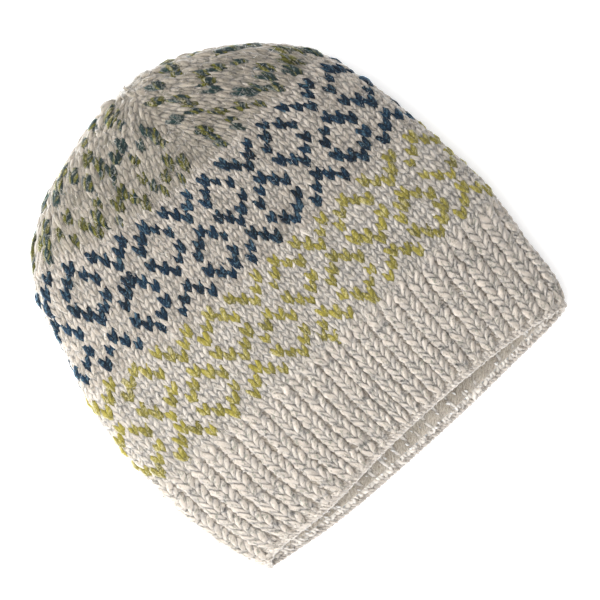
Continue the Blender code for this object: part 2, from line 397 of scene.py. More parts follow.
def yarn_mesh(name, path, radius, sides=YARN_SIDES):
    """A closed length of yarn. Its UV map runs along the yarn, in yarn lengths, and around it."""
    ahead = np.gradient(path, axis=0)
    ahead /= np.linalg.norm(ahead, axis=1, keepdims=True)
    level = np.cross(ahead, (0.0, 0.0, 1.0))
    level /= np.linalg.norm(level, axis=1, keepdims=True)
    above = np.cross(level, ahead)
    turns = 2 * math.pi * (np.arange(sides) / sides)
    spokes = level[:, None] * np.cos(turns)[:, None] + above[:, None] * np.sin(turns)[:, None]
    points = (path[:, None] + spokes * np.asarray(radius)[:, None, None]).reshape(-1, 3)
    last = len(points) - sides
    faces = [face for low in range(0, last, sides) for face in ring_faces(low, sides)]
    mesh = plain_mesh(name, points, [*faces, range(sides)[::-1], range(last, last + sides)])
    reached = lengths_along(path)
    layer = mesh.uv_layers.new(name="yarn")
    for polygon in mesh.polygons:
        wraps = len(polygon.vertices) == 4 and any(v % sides == sides - 1 for v in polygon.vertices)
        for corner, vertex in zip(polygon.loop_indices, polygon.vertices):
            turn = vertex % sides
            turn = sides if wraps and turn == 0 else turn
            layer.data[corner].uv = (reached[vertex // sides], turn / sides)
    mesh.shade_smooth()
    return mesh


print(f"yarn has {YARN_SIDES} sides")

# %% Draw the loops
LOOP_TURNS = np.radians([0, 34, 60, 90, 120, 146, 180, 214, 240, 270, 300, 326, 360])
LOOP_TAPER = 0.14         # twice this share thinner at the feet and the head than in the legs
LOOPS = {                 # width, lean, rise, depth, stoutness and level, in stitches, and the side it faces
    "knit_loop": (1.0, 0.30, 1.0, 0.15, 0.325, 0.0, 1.0),
    "crown_loop": (1.0, 0.25, 0.92, 0.14, 0.39, 0.0, 1.0),
    "marl_loop": (1.0, 0.25, 1.12, 0.22, 0.43, 0.0, 1.0),
    "pattern_loop": (1.0, 0.27, 1.12, 0.20, 0.385, 0.0, 1.0),
    "rib_knit_loop": (1.56, 0.28, 1.0, 0.12, 0.435, 0.08, 1.0),
    "rib_purl_loop": (1.1, 0.22, 1.0, 0.12, 0.28, -0.28, -1.0),
}


def loop_mesh(name, width, lean, rise, depth, stout, level, face):
    """One stitch, centred on its column and row. Face -1 turns it to the purl side."""
    turns = LOOP_TURNS
    across = (turns / (2 * math.pi) - 0.5 + lean * np.sin(2 * turns)) * width
    path = np.stack([across, -rise * np.cos(turns), face * -depth * np.cos(2 * turns) + level], axis=-1)
    return yarn_mesh(name, path, stout * (1 - LOOP_TAPER - LOOP_TAPER * np.cos(2 * turns)))


loops = {name: helper_object(loop_mesh(name, *sizes)) for name, sizes in LOOPS.items()}
print(f"{len(loops)} kinds of loop, {len(loops['knit_loop'].data.polygons)} faces each")

# %% [markdown]
# ## The tree that knits
#
# Placing four thousand loops by hand is what Geometry Nodes are for. The tree takes one point for
# each stitch, puts a loop on it, gives each loop its own tone and a little slackness, makes them real
# and wraps them round the form. It ends with the material, so that the result is a finished piece.


# %% Helpers for node trees
def pick(sockets, key):
    """A socket that the node's settings leave in use, by name or by number."""
    used = [socket for socket in sockets if socket.enabled]
    return used[key] if isinstance(key, int) else next(socket for socket in used if socket.name == key)


def add(tree, kind, inputs=None, **settings):
    """Adds a node with its settings. Each input is set, or linked where it is another node's output."""
    node = tree.nodes.new(kind)
    for name, value in settings.items():
        setattr(node, name, value)
    for key, value in (inputs or {}).items():
        if isinstance(value, bpy.types.NodeSocket):
            tree.links.new(value, pick(node.inputs, key))
        else:
            pick(node.inputs, key).default_value = value
    return node


def new_group(name, family, inputs, outputs):
    """A node group with named inputs and outputs, and the sockets at its two ends."""
    group = bpy.data.node_groups.new(name, family)
    for label, kind, *value in inputs:
        socket = group.interface.new_socket(label, in_out="INPUT", socket_type=f"NodeSocket{kind}")
        if value:
            socket.default_value = value[0]
    for label, kind in outputs:
        group.interface.new_socket(label, in_out="OUTPUT", socket_type=f"NodeSocket{kind}")
    return group, group.nodes.new("NodeGroupInput").outputs, group.nodes.new("NodeGroupOutput").inputs


def first(tree, kind, inputs=None, **settings):
    """The first output of a new node."""
    return add(tree, kind, inputs, **settings).outputs[0]


def calculate(tree, operation, *values):
    """The output of one Math node."""
    return first(tree, "ShaderNodeMath", dict(enumerate(values)), operation=operation)


def times(tree, first, second):
    """One value times another."""
    return calculate(tree, "MULTIPLY", first, second)


def plus(tree, first, second):
    """The sum of two values."""
    return calculate(tree, "ADD", first, second)


def off_middle(tree, value):
    """How far a value from 0 to 1 lies from the middle."""
    return calculate(tree, "SUBTRACT", value, 0.5)


def combine(tree, x, y, z):
    """The output of one Combine XYZ node."""
    return first(tree, "ShaderNodeCombineXYZ", {0: x, 1: y, 2: z})


def separate(tree, vector):
    """The three numbers of a vector."""
    return add(tree, "ShaderNodeSeparateXYZ", {0: vector}).outputs


def noise(tree, place, scale, detail, roughness=0.5):
    """The output of one Noise Texture node."""
    inputs = {"Vector": place, "Scale": scale, "Detail": detail, "Roughness": roughness}
    return first(tree, "ShaderNodeTexNoise", inputs)


print("helpers ready for", bpy.app.version_string)


# %% Helpers for geometry trees
def position(tree):
    """Where a point is."""
    return first(tree, "GeometryNodeInputPosition")


def named(tree, name, kind="FLOAT"):
    """Reads an attribute by name."""
    node = add(tree, "GeometryNodeInputNamedAttribute", {"Name": name}, data_type=kind)
    return pick(node.outputs, "Attribute")


def store(tree, geometry, name, value, domain="POINT"):
    """Keeps a value under a name, on each point or on each instance."""
    inputs = {"Geometry": geometry, "Name": name, "Value": value}
    return first(tree, "GeometryNodeStoreNamedAttribute", inputs, domain=domain)


def scatter(tree, low, high, seed):
    """A random number for each element."""
    node = add(tree, "FunctionNodeRandomValue", {"Min": low, "Max": high, "Seed": seed}, data_type="FLOAT")
    return pick(node.outputs, "Value")


def geometry_of(tree, lender):
    """The geometry that a helper object lends."""
    return add(tree, "GeometryNodeObjectInfo", {"Object": lender}).outputs["Geometry"]


def realized(tree, geometry):
    """The geometry with its instances made real."""
    return first(tree, "GeometryNodeRealizeInstances", {"Geometry": geometry})


def rotation(tree, turn):
    """A rotation from three angles."""
    return first(tree, "FunctionNodeEulerToRotation", {0: turn})


LOWEST_PLACE = (-1.0, -1.0, 0.0)          # far outside the hat sideways, but the floor below


def above_floor(tree, geometry, place):
    """Moves the points of a geometry to their places, but never below the floor."""
    raised = first(tree, "ShaderNodeVectorMath", {0: place, 1: LOWEST_PLACE}, operation="MAXIMUM")
    return first(tree, "GeometryNodeSetPosition", {"Geometry": geometry, "Position": raised})


def new_tree(name, inputs):
    """A geometry tree with named inputs, and the sockets at its two ends."""
    geometry = (("Geometry", "Geometry"),)
    return new_group(name, "GeometryNodeTree", geometry + inputs, geometry)


def end_tree(tree, geometry, yarn, result):
    """Sets the yarn, links the tree's end and says how large the tree is."""
    dressed = first(tree, "GeometryNodeSetMaterial", {"Geometry": geometry, "Material": yarn})
    tree.links.new(dressed, result[0])
    print(f"{tree.name}: {len(tree.nodes)} nodes")


print("a tree starts with its inputs and ends with the yarn's material")


# %% Wrap whatever lies on the chart
UNEVENNESS = 0.40         # how much the yarn's own unevenness moves its surface, in stitches
UNEVEN_SCALE = 420.0      # the unevenness changes this often in a metre


def wrapped(tree, geometry, form):
    """Moves each point of a geometry from the chart to its place on the form, above the floor."""
    column, row, level = separate(tree, position(tree))
    across = calculate(tree, "DIVIDE", plus(tree, column, CHART_MARGIN), STITCHES_AROUND + 2 * CHART_MARGIN)
    up = calculate(tree, "DIVIDE", plus(tree, row, EDGE_MARGIN), ALL_ROWS + 2 * EDGE_MARGIN)
    surface = geometry_of(tree, form)

    def on_form(value):
        """Reads a vector of the form at each point's place on the chart."""
        node = add(tree, "GeometryNodeSampleUVSurface", {
            "Mesh": surface, "Value": value, "UV Map": named(tree, "chart", "FLOAT_VECTOR"),
            "Sample UV": combine(tree, across, up, 0.0),
        }, data_type="FLOAT_VECTOR")
        return pick(node.outputs, "Value")

    place = on_form(position(tree))
    direction = on_form(named(tree, "outward", "FLOAT_VECTOR"))
    uneven = times(tree, off_middle(tree, noise(tree, place, UNEVEN_SCALE, 2.0)), UNEVENNESS)
    height = times(tree, plus(tree, level, uneven), stitch_size)
    lift = first(tree, "ShaderNodeVectorMath", {0: direction, "Scale": height}, operation="SCALE")
    there = first(tree, "ShaderNodeVectorMath", {0: place, 1: lift}, operation="ADD")
    return above_floor(tree, store(tree, geometry, "level", level), there)


print("a wrapped point stands off the form by", f"{stitch_size * 1000:.2f} mm for each unit of height")

# %% [markdown]
# Nothing in hand knitting is quite even. Each stitch turns, grows and moves a little, by shares of its
# piece's looseness. In the crown the stitches also lean towards the middle of their panel.

# %% Grow the knitting tree
TILT_SHARE = 1.5          # of the looseness, for turning about the row
MOVE_SHARE = 0.8          # for moving along the wall
LIFT_SHARE = 0.6          # for moving out of it

knit_tree, given, result = new_tree("Knit stitches", (
    ("Stitch", "Object"), ("Form", "Object"), ("Looseness", "Float"), ("Seed", "Int"), ("Yarn", "Material"),
))
t = knit_tree
seeds = [plus(t, given["Seed"], step) for step in range(6)]


def slack(step, share=1.0):
    """A random number around nothing, as large as a share of the looseness."""
    return times(t, times(t, scatter(t, -1.0, 1.0, seeds[step]), given["Looseness"]), share)


thickness = plus(t, slack(3), 1.0)
size = combine(t, times(t, named(t, "width"), thickness), plus(t, slack(4), 1.0), thickness)
shift = combine(t, slack(4, MOVE_SHARE), slack(1, MOVE_SHARE), slack(2, LIFT_SHARE))
shifted = first(t, "GeometryNodeSetPosition", {"Geometry": given["Geometry"], "Offset": shift})
placed = first(t, "GeometryNodeInstanceOnPoints", {
    "Points": shifted, "Instance": geometry_of(t, given["Stitch"]), "Scale": size,
    "Rotation": rotation(t, combine(t, slack(0), slack(1, TILT_SHARE), slack(2))),
})
toned = store(t, placed, "tone", scatter(t, 0.0, 1.0, seeds[5]), "INSTANCE")
risen = calculate(t, "SUBTRACT", separate(t, position(t))[1], named(t, "row"))
aside = combine(t, times(t, risen, named(t, "lean")), 0.0, 0.0)
leaning = first(t, "GeometryNodeSetPosition", {"Geometry": realized(t, toned), "Offset": aside})
end_tree(t, wrapped(t, leaning, given["Form"]), given["Yarn"], result)


# %% Run a tree and keep its result
def grown(name, source, tree, values):
    """Runs a tree on a mesh with named inputs, and returns the result as a plain piece."""
    piece = new_object(name, source)
    modifier = piece.modifiers.new("tree", "NODES")
    modifier.node_group = tree
    for socket in tree.interface.items_tree:
        if socket.in_out == "INPUT" and socket.name in values:
            modifier[socket.identifier] = values[socket.name]
    bpy.context.view_layer.update()
    evaluated = piece.evaluated_get(bpy.context.evaluated_depsgraph_get())
    mesh = bpy.data.meshes.new_from_object(evaluated)
    piece.modifiers.clear()
    piece.data = mesh
    mesh.name = name
    return piece


def dress(piece, slot, *nodes):
    """Hands a finished piece to the frame: what it rides on and what it stands for. Its slot is not used."""
    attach(piece, "root")
    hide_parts(*nodes)
    triangles = sum(len(polygon.vertices) - 2 for polygon in piece.data.polygons)
    print(f"{piece.name}: {triangles} triangles")
    return piece


print("a grown piece rides on the root")

# %% [markdown]
# ## Wool
#
# Each yarn is spun from hairs of several shades, so no stitch is one colour. All the yarns share the same
# effects, which are therefore made once as a group: the change of shade from stitch to stitch and from
# patch to patch, the short streaks along the yarn, the specks of other hairs, and the twist of the
# plies. Deep between the stitches the group also paints light: the colour there is mixed towards a
# paler shade, which stands in for the light that fine hairs spread into the gaps.


# %% Helpers for shaders
def attribute(tree, name):
    """Reads an attribute by name in a shader."""
    return add(tree, "ShaderNodeAttribute", attribute_name=name).outputs["Fac"]


def mixed(tree, share, first, second):
    """The output of one Mix node for colours."""
    node = add(tree, "ShaderNodeMix", {"Factor": share, "A": first, "B": second}, data_type="RGBA")
    return pick(node.outputs, "Result")


def span(tree, value, low, high, to_low=0.0, to_high=1.0):
    """Maps a range of values to another, and stops at its ends."""
    node = add(tree, "ShaderNodeMapRange", {
        "Value": value, "From Min": low, "From Max": high, "To Min": to_low, "To Max": to_high,
    })
    return pick(node.outputs, "Result")


def set_inputs(node, values):
    """Sets several inputs of a node by name."""
    for name, value in values.items():
        node.inputs[name].default_value = value


print("helpers ready for shaders")

# %% Spin the wool group
DARK_GREY = (0.2, 0.2, 0.2, 1.0)
LIGHT_GREY = (0.8, 0.8, 0.8, 1.0)
HAIR_SCALE = 1100.0       # the specks of single hairs change this often in a metre
PATCH_SCALE = 35.0        # and the patches this often
STREAKS = (2.0, 0.8, 40.0)                # how fast streaks change round and along the yarn, and by stitch
FLECKS = (3.0, 1.2, 90.0)                 # the same for the flecks
WEIGHTS = (0.2, 1.05, 0.75, 0.35)         # of stitches, streaks, specks and patches in the shade
FLECK_FROM, FLECK_FULL = 0.55, 0.69       # the noise makes a fleck from here, and a full one there
GAP_LIGHT_FULL, GAP_LIGHT_END = -0.20, 0.42         # heights between which the painted gap light fades out, in stitches

wool_group, given, result = new_group("Spun wool", "ShaderNodeTree", (
    ("Dark", "Color", DARK_GREY), ("Light", "Color", LIGHT_GREY), ("Fleck", "Color", DARK_GREY),
    ("Depths", "Color", LIGHT_GREY), ("Flecks", "Float", 0.0), ("Haze", "Float", 0.7),
    ("Heather", "Float", 1.5), ("Plies", "Float", 2.0), ("Twist", "Float", 0.6),
), (("Color", "Color"), ("Height", "Float")))
t = wool_group
along, about, _ = separate(t, first(t, "ShaderNodeUVMap", uv_map="yarn"))
tone = attribute(t, "tone")
turns = plus(t, times(t, about, given["Plies"]), times(t, along, given["Twist"]))
ply = calculate(t, "SINE", times(t, turns, 2 * math.pi))
streak_place, fleck_place = (
    combine(t, times(t, turns, around_it), times(t, along, along_it), times(t, tone, by_stitch))
    for around_it, along_it, by_stitch in (STREAKS, FLECKS)
)
streaks = noise(t, streak_place, 1.6, 3.0, 0.6)
place = add(t, "ShaderNodeTexCoord").outputs["Object"]
specks = noise(t, place, HAIR_SCALE, 3.0, 0.75)
patches = noise(t, place, PATCH_SCALE, 2.0)
blend = 0.5
for source, weight in zip((tone, streaks, specks, patches), WEIGHTS):
    share = times(t, off_middle(t, source), weight)
    blend = calculate(t, "MULTIPLY_ADD", share, given["Heather"], blend)
shade = mixed(t, span(t, blend, 0.0, 1.0), given["Dark"], given["Light"])
fleck_noise = calculate(t, "MULTIPLY_ADD", off_middle(t, specks), 1.2, noise(t, fleck_place, 1.3, 1.0))
fleck = times(t, span(t, fleck_noise, FLECK_FROM, FLECK_FULL), given["Flecks"])
flecked = mixed(t, fleck, shade, given["Fleck"])
# painted light: the lower a point lies in the wall, the more its colour goes to the paler gap light colour
gap_light = span(t, attribute(t, "level"), GAP_LIGHT_FULL, GAP_LIGHT_END, given["Haze"], 0.0)
t.links.new(mixed(t, gap_light, flecked, given["Depths"]), result["Color"])
t.links.new(plus(t, times(t, ply, 0.35), times(t, streaks, 0.8)), result["Height"])
print(f"wool group: {len(t.nodes)} nodes")


# %% Dye the yarns
GAP_LIGHT_GAIN = 1.6          # painted light: deep between the stitches the colour is this much lighter than the yarn's light shade


def srgb(red, green, blue):
    """A linear colour from the three numbers of a colour chart."""
    share = np.array([red, green, blue]) / 255
    linear = np.where(share <= 0.04045, share / 12.92, ((share + 0.055) / 1.055) ** 2.4)
    return (*linear.tolist(), 1.0)


def new_material(name):
    """A material, its node tree and its shader."""
    material = bpy.data.materials.new(name)
    material.use_nodes = True
    return material, material.node_tree, material.node_tree.nodes["Principled BSDF"]


def wool_material(name, dark, light, heather, fleck=(0, 0, 0), flecks=0.0, sheen=0.3, bump=0.00006, gap_light=0.7):
    """One yarn: its shades, from a colour chart, go through the shared group to a soft shader."""
    material, tree, shader = new_material(name)
    set_inputs(shader, {
        "Roughness": 0.9, "Specular IOR Level": 0.25, "Sheen Weight": sheen, "Sheen Roughness": 0.5,
        "Subsurface Weight": 1.0, "Subsurface Radius": (1.0, 0.99, 0.96), "Subsurface Scale": 0.0042,
    })
    # the painted gap light colour: the yarn's light shade made brighter still
    gap_light_colour = (*(min(1.0, GAP_LIGHT_GAIN * share) for share in srgb(*light)[:3]), 1.0)
    wool = add(tree, "ShaderNodeGroup", {
        "Dark": srgb(*dark), "Light": srgb(*light), "Fleck": srgb(*fleck), "Flecks": flecks,
        "Heather": heather, "Haze": gap_light, "Depths": gap_light_colour,
    }, node_tree=wool_group)
    tree.links.new(wool.outputs["Color"], shader.inputs["Base Color"])
    relief = add(tree, "ShaderNodeBump", {"Height": wool.outputs["Height"], "Distance": bump})
    tree.links.new(relief.outputs[0], shader.inputs["Normal"])
    return material


# The greys are one yarn, made darker in steps from the rib to the crown.
rib_wool = wool_material(
    "grey heather rib wool", (148, 140, 131), (193, 184, 174), 0.9, (104, 107, 98), 0.8, gap_light=0.8)
grey_wool = wool_material(
    "grey heather wool", (130, 124, 115), (195, 187, 177), 1.1, (82, 82, 74), 0.75)
upper_wool = wool_material(
    "grey heather upper wool", (116, 109, 100), (186, 177, 166), 1.2, (78, 80, 74), 0.75)
crown_wool = wool_material(
    "grey heather crown wool", (96, 90, 80), (168, 160, 148), 1.1, (84, 82, 70), 0.8, gap_light=0.8)
lime_wool = wool_material(
    "lime wool", (72, 68, 22), (142, 132, 50), 1.9, (176, 168, 134), 0.6, sheen=0.4, gap_light=0.5)
blue_wool = wool_material(
    "blue wool", (0, 3, 8), (1, 32, 54), 1.9, (88, 118, 132), 0.4, sheen=0.10, gap_light=0.2)
print("dyed", [wool.name for wool in (rib_wool, grey_wool, upper_wool, crown_wool, lime_wool, blue_wool)])

# %% [markdown]
# The crown's pattern is knitted in two strands at once, lime and a dark teal. Which of them lies on top
# changes along the yarn, with its twist and its streaks, and by chance from stitch to stitch.

# %% Ply the marl
TEAL_FROM, TEAL_FULL = 0.16, 0.40         # the teal strand comes up here, and hides the lime there

marl_wool = wool_material(
    "lime and blue marl wool", (30, 32, 6), (104, 102, 34), 1.8, (170, 162, 146), 0.5, sheen=0.2)
t = marl_wool.node_tree
lime_strand = next(node for node in t.nodes if node.type == "GROUP")
teal_strand = add(t, "ShaderNodeGroup", {
    "Dark": srgb(1, 8, 10), "Light": srgb(16, 42, 42), "Fleck": srgb(140, 140, 132), "Flecks": 0.5,
    "Twist": 0.9,
}, node_tree=wool_group)
chance = off_middle(t, attribute(t, "tone"))
risen = calculate(t, "MULTIPLY_ADD", chance, 0.75, teal_strand.outputs["Height"])
teal_share = span(t, risen, TEAL_FROM, TEAL_FULL)
marled = mixed(t, teal_share, lime_strand.outputs["Color"], teal_strand.outputs["Color"])
t.links.new(marled, t.nodes["Principled BSDF"].inputs["Base Color"])
print("the marl has two strands, lime and dark teal, held together")

# %% [markdown]
# ## The chart
#
# The pattern is a common one of its kind, small lozenges with a bar between them, ten stitches wide
# and eleven rows high. It is written as a knitter writes it, the lowest row last. All three bands use
# it: lime, then blue, then the marl of both.

# %% Write the chart
LOZENGE_CHART = (
    "..#..#..#.",
    ".#..#.#..#",
    "#..#...#..",
    "..........",
    "#..#...#..",
    ".#..#.#..#",
    "..#..#..#.",
    "..........",
    "..#..#..#.",
    ".#..#.#..#",
    "#..#...#..",
)
CHART_START = 7           # the column where a repeat of the chart begins
COLUMN_PLACE = 0.3        # a stitch's middle, from its column's number
BANDS = {"lime": 14, "blue": 26, "marl": 38}


def in_chart(column, row):
    """The band whose colour this stitch has, or grey."""
    for band, first in BANDS.items():
        if 0 <= row - first < len(LOZENGE_CHART):
            line = LOZENGE_CHART[len(LOZENGE_CHART) - 1 - (row - first)]
            return band if line[(column - CHART_START) % len(line)] == "#" else "grey"
    return "grey"


print("\n".join(LOZENGE_CHART))

# %% [markdown]
# ## Cast on the stitches
#
# Every stitch becomes a point with its column, its row and its width. The rib's knit and purl stitches
# alternate. In the crown each of the four panels loses a stitch at both of its sides in every row, and
# the stitches that stay keep their place in the pattern. They lean towards the panel's middle, but
# hardly any more beside a decrease line. At the lines in the middle of the front and of the back, the
# last stitch on either side is always a plain one.

# %% List the stitches of the band and the body
CAST_ON_ROOM = 0.45       # rows that the cast-on edge takes up
STRAY_LIME = (1, RIB_ROWS)                # one lime stitch lies a row below its band

stitches = {}


def put(kind, column, row, width=1.0, lean=0.0):
    """Adds one stitch to the list of its kind. Lean is how many columns it moves aside in a row."""
    stitches.setdefault(kind, []).append((column, row + 0.5, width, lean))


for count in range(RIB_ROWS):
    row = CAST_ON_ROOM + count * (RIB_ROWS - CAST_ON_ROOM) / RIB_ROWS
    for column in range(STITCHES_AROUND):
        put("rib_knit" if column % 2 == 0 else "rib_purl", column + COLUMN_PLACE, row)
for row in range(RIB_ROWS, CROWN_START):
    for column in range(STITCHES_AROUND):
        colour = "lime" if (column, row) == STRAY_LIME else in_chart(column, row)
        part = "lower" if row < BANDS["blue"] - 1 else "upper"
        put(f"grey_{part}" if colour == "grey" else colour, column + COLUMN_PLACE, row)
print({kind: len(places) for kind, places in stitches.items()})

# %% List the stitches of the crown
PANEL_COLUMNS = 25        # stitches of one panel in the crown's first row
PANEL_MIDDLE = 17         # the column in the middle of the first panel
LAST_STITCHES = 3         # a panel never gets narrower than this
PANEL_LEAN = 32           # 50 would let the stitches follow their columns fully
LEAN_FADE = 0.8           # the share of the lean that is gone beside a decrease line

for row in range(CROWN_START, ALL_ROWS):
    left = max(LAST_STITCHES, PANEL_COLUMNS - 2 * (row - CROWN_START))
    for panel, line in enumerate(DECREASE_LINES):
        for count in range(left):
            aside = count - (left - 1) // 2
            colour = in_chart(PANEL_MIDDLE + PANEL_COLUMNS * panel + aside, row)
            beside_plain = abs(aside) == left // 2 and (panel + (aside > 0)) % 2 == 0
            kind = "grey_crown" if colour == "grey" or beside_plain else colour
            column = (line + PANEL_COLUMNS * (0.5 + aside / left)) % STITCHES_AROUND
            fade = 1 - LEAN_FADE * (2 * aside / left) ** 4
            lean = PANEL_LEAN * fade * aside / left ** 2 if left > LAST_STITCHES else 0.0
            put(kind, column, row, PANEL_COLUMNS / left, lean)
print({kind: len(stitches[kind]) for kind in ("grey_crown", "marl")})


# %% Turn the list into points for the tree
def stitch_points(kind):
    """A mesh of loose points, one for each stitch of a kind, with its row, width and lean."""
    places = np.array(stitches[kind])
    mesh = plain_mesh(kind, np.column_stack([places[:, 0], places[:, 1], np.zeros(len(places))]), [])
    for name, values in (("row", places[:, 1]), ("width", places[:, 2]), ("lean", places[:, 3])):
        mesh.attributes.new(name, "FLOAT", "POINT").data.foreach_set("value", values.astype(np.float32))
    return mesh


BAND = ("grey_wool", "ribbed_band")       # slots, and the nodes that the pieces stand for
BODY = ("grey_wool", "patterned_body")
CROWN = ("grey_wool", "crown")
LIME = ("lime_wool", "patterned_body")
BLUE = ("blue_wool", "patterned_body")
MARL = ("marl_wool", "crown")


def knit(name, kind, loop, looseness, seed, yarn, slot, *nodes):
    """Knits all the stitches of a kind."""
    values = {"Stitch": loops[loop], "Form": wrap_object, "Looseness": looseness, "Seed": seed, "Yarn": yarn}
    return dress(grown(name, stitch_points(kind), knit_tree, values), slot, *nodes)


ribs = knit("rib_wales", "rib_knit", "rib_knit_loop", 0.12, 10, rib_wool, *BAND)
grooves = knit("rib_grooves", "rib_purl", "rib_purl_loop", 0.08, 20, rib_wool, *BAND)
lower = knit("lower_ground", "grey_lower", "knit_loop", 0.09, 30, grey_wool, *BODY)
upper = knit("upper_ground", "grey_upper", "knit_loop", 0.09, 40, upper_wool, *BODY)
crown = knit("crown_ground", "grey_crown", "crown_loop", 0.12, 70, crown_wool, *CROWN)

# %% Knit the pattern
lime = knit("lime_pattern", "lime", "pattern_loop", 0.13, 50, lime_wool, *LIME)
blue = knit("blue_pattern", "blue", "pattern_loop", 0.13, 60, blue_wool, *BLUE)
marl = knit("crown_pattern", "marl", "marl_loop", 0.16, 80, marl_wool, *MARL)

# %% [markdown]
# ## The inside
#
# A hat in two colours is two layers thick. The yarn that isn't wanted at the front runs along behind
# as short floats, and the hairs of both layers mat together, so that no light comes through. The
# floats are placed like stitches, one for each gap in the pattern. The matted layer is one closed
# sheet in the middle of the wall, wrapped like everything else. Behind the rib it has ribs too, because
# there it can be seen through the mouth.


# %% Strand the floats
def float_mesh(name, depth, stout):
    """One float, a unit long: it leaves the wall, runs behind a few stitches and goes back in."""
    share = np.linspace(-0.5, 0.5, 6)
    sag = depth * np.cos(math.pi * share) ** 0.6
    path = np.stack([share, 0.08 * np.sin(2 * math.pi * share), -0.22 - sag], axis=-1)
    return yarn_mesh(name, path, np.full(len(path), stout), sides=4)


def list_floats(band, longest):
    """Adds a float between each stitch of a band's colour and the next one in its row."""
    by_row = {}
    for column, row, _, _ in stitches[band]:
        by_row.setdefault(row, []).append(column)
    for row, columns in by_row.items():
        columns = sorted(columns)
        for here, after in zip(columns, columns[1:] + [columns[0] + STITCHES_AROUND]):
            if after - here < longest:
                put(f"{band}_floats", (here + after) / 2 % STITCHES_AROUND, row - 0.5, after - here)


LONGEST_FLOAT = 12.0      # in stitches
loops["float"] = helper_object(float_mesh("pattern_float", 0.26, 0.17))
FLOATS = (("lime", 90, lime_wool, LIME), ("blue", 100, blue_wool, BLUE), ("marl", 110, marl_wool, MARL))
for band, seed, wool, part in FLOATS:
    list_floats(band, LONGEST_FLOAT)
    knit(f"{band}_floats", f"{band}_floats", "float", 0.05, seed, wool, *part)

# %% Grow the wrapping tree
wrap_tree, given, result = new_tree("Wrap round the hat", (("Form", "Object"), ("Yarn", "Material")))
toned = store(wrap_tree, realized(wrap_tree, given["Geometry"]), "tone", 0.5)
end_tree(wrap_tree, wrapped(wrap_tree, toned, given["Form"]), given["Yarn"], result)


# %% Mat the layers together
def matted_mesh(front, back, rib_front, rib_back, rib_relief):
    """A closed sheet on the chart, open only at the mouth, whose two sides meet at the edge."""
    rows = np.arange(0, ALL_ROWS)
    in_rib = (RIB_ROWS - 1, RIB_ROWS)
    relief = np.where(rows < RIB_ROWS, rib_relief, 0.0)
    sides = ((np.interp(rows, in_rib, (rib_front, front)), np.zeros(len(rows))),
             (np.interp(rows, in_rib, (rib_back, back)), relief))
    points = []
    for levels, swings in sides:
        for row, level, swing in zip(rows, levels, swings):
            ribs = (level + swing * (-1) ** column for column in range(STITCHES_AROUND))
            points += [(column, row + 0.5, height) for column, height in enumerate(ribs)]
    tips = (len(points), len(points) + 1)
    points += [(0, ALL_ROWS, front), (0, ALL_ROWS, back)]
    side = len(rows) * STITCHES_AROUND
    last = side - STITCHES_AROUND
    faces = ring_faces(0, STITCHES_AROUND, flip=True, high=side)
    for low in range(0, last, STITCHES_AROUND):
        faces += ring_faces(low, STITCHES_AROUND) + ring_faces(side + low, STITCHES_AROUND, flip=True)
    for i in range(STITCHES_AROUND):
        after = (i + 1) % STITCHES_AROUND
        faces += [(last + i, last + after, tips[0]), (side + last + after, side + last + i, tips[1])]
    mesh = plain_mesh("matted_wool", points, faces)
    layer = mesh.uv_layers.new(name="yarn")
    for corner in mesh.loops:
        column, row, _ = points[corner.vertex_index]
        layer.data[corner.index].uv = (3 * row, column)
    mesh.shade_smooth()
    return mesh


MATTED_LEVELS = (0.13, -0.16)             # the sheet's front and back, in stitches off the wall's middle
MATTED_RIB_LEVELS = (-0.04, -0.60)        # the same behind the rib
MATTED_RIB_RELIEF = 0.10
inner_wool = wool_material(
    "matted grey wool", (136, 128, 118), (206, 198, 186), 1.6, (118, 112, 98), 0.7, bump=0.0004, gap_light=0.0)
sheet = matted_mesh(*MATTED_LEVELS, *MATTED_RIB_LEVELS, MATTED_RIB_RELIEF)
matted = grown("matted_wool", sheet, wrap_tree, {"Form": wrap_object, "Yarn": inner_wool})
dress(matted, *BAND, BODY[1], CROWN[1])

# %% [markdown]
# ## The two ends of the yarn
#
# The first round was cast on with two strands twisted about each other, which makes the firm edge of
# the brim. Just inside it lie short bumps of yarn in a near-white shade, which paints glints: the light
# they seem to catch is painted into their colour. The last stitches were drawn together with the
# yarn's end, which runs round inside them.


# %% Cast on and draw in
def strand(name, row, swing, level, turns, phase, stout, rib=0.0, per_column=3):
    """A closed strand that runs round the chart in a row and winds about its own middle line."""
    column = np.arange(STITCHES_AROUND * per_column) / per_column
    wind = 2 * math.pi * (column * turns + phase)
    ribs = rib * np.cos(math.pi * (column - COLUMN_PLACE))
    path = np.stack([column, row + swing * np.cos(wind), level + swing * np.sin(wind) + ribs], axis=-1)
    closed = np.concatenate([path, path[:1] + (STITCHES_AROUND, 0, 0)])
    return yarn_mesh(name, closed, np.full(len(closed), stout))


def wrapped_strands(name, meshes, slot, *nodes):
    """Joins several chart meshes and wraps them as one piece."""
    work = bmesh.new()
    for mesh in meshes:
        work.from_mesh(mesh)
    joined = bpy.data.meshes.new(name)
    work.to_mesh(joined)
    work.free()
    joined.shade_smooth()
    values = {"Form": wrap_object, "Yarn": edge_wool}
    return dress(grown(name, joined, wrap_tree, values), slot, *nodes)


edge_wool = wool_material(
    "cast-on wool", (148, 140, 131), (204, 195, 185), 1.2, (104, 100, 91), 0.75, sheen=0.2, gap_light=0.0)
edge_strands = [strand("edge", -0.14, 0.17, 0.02, 0.9, phase, 0.31, rib=0.14) for phase in (0.0, 0.5)]
wrapped_strands("cast_on_edge", edge_strands, *BAND)

# %% Paint glints inside the brim and close the tip
BUMP_PATH = ((-0.09, -0.16, -0.64), (-0.03, -0.05, -0.78), (0.03, 0.05, -0.80), (0.11, 0.15, -0.66))
BUMP_RADIUS = (0.06, 0.11, 0.11, 0.05)
FIRST_BUMP, BUMP_ROWS = -0.1, 1.1         # the lowest row of a bump, and how many rows they spread over
ASIDE_STEP, ROW_STEP = 0.37, 0.618        # from one bump to the next, so that no two places look alike

